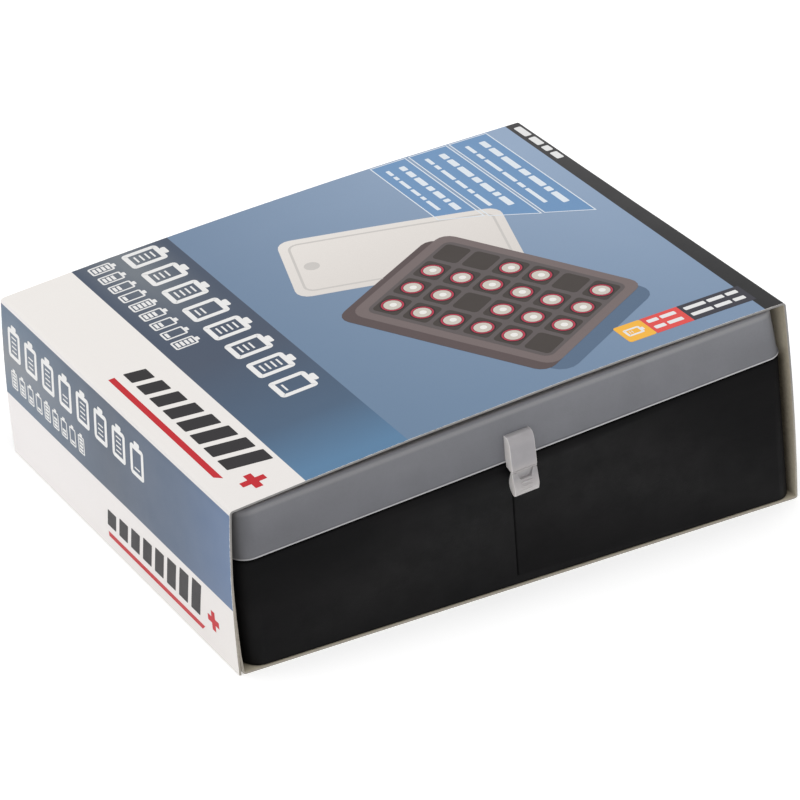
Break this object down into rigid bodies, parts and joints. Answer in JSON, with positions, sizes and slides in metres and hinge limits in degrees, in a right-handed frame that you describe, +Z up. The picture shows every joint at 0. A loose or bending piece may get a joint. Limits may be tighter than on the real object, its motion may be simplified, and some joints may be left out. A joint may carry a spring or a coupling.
{
  "type": "battery case",
  "caption": "Wedge-shaped plastic battery case with a hinged frosted lid and a front latch, sliding like a drawer in a printed card sleeve.",
  "frame": {"origin": "centre of the sleeve's bottom panel, on the surface that the case stands on", "axes": "+X along the open front from the shallow end to the deep end, +Y from the front to the back, +Z up"},
  "size_m": [0.1733, 0.1344, 0.0617],
  "materials": {
    "printed_card": "coated folding carton, printed, satin",
    "bare_card": "uncoated grey-beige carton back",
    "black_plastic": "matte black moulded polypropylene",
    "frosted_plastic": "frosted translucent polypropylene",
    "clear_plastic": "natural translucent polypropylene"
  },
  "bodies": {
    "sleeve": {"sleeve_bottom_panel": "printed_card", "sleeve_deep_side_panel": "printed_card", "sleeve_top_panel": "printed_card", "sleeve_shallow_side_panel": "printed_card", "sleeve_glue_flap": "bare_card"},
    "drawer": {"base_shell": "black_plastic", "utility_tray": "black_plastic", "aaa_tray": "black_plastic", "block_tray": "black_plastic", "aa_tray": "black_plastic", "lid": "frosted_plastic", "latch_block": "clear_plastic"},
    "latch_flap": {"latch_flap": "clear_plastic"}
  },
  "joints": [
    {"name": "drawer_slide", "type": "slide", "parent": "sleeve", "child": "drawer", "axis": [0, -1, 0], "range_m": [-0.132, 0.132]},
    {"name": "latch_hinge", "type": "hinge", "parent": "drawer", "child": "latch_flap", "pos_m": [-0.00411, -0.06788, 0.03718], "axis": [-0.9966, 0, -0.0828], "range_deg": [0, 90]}
  ]
}
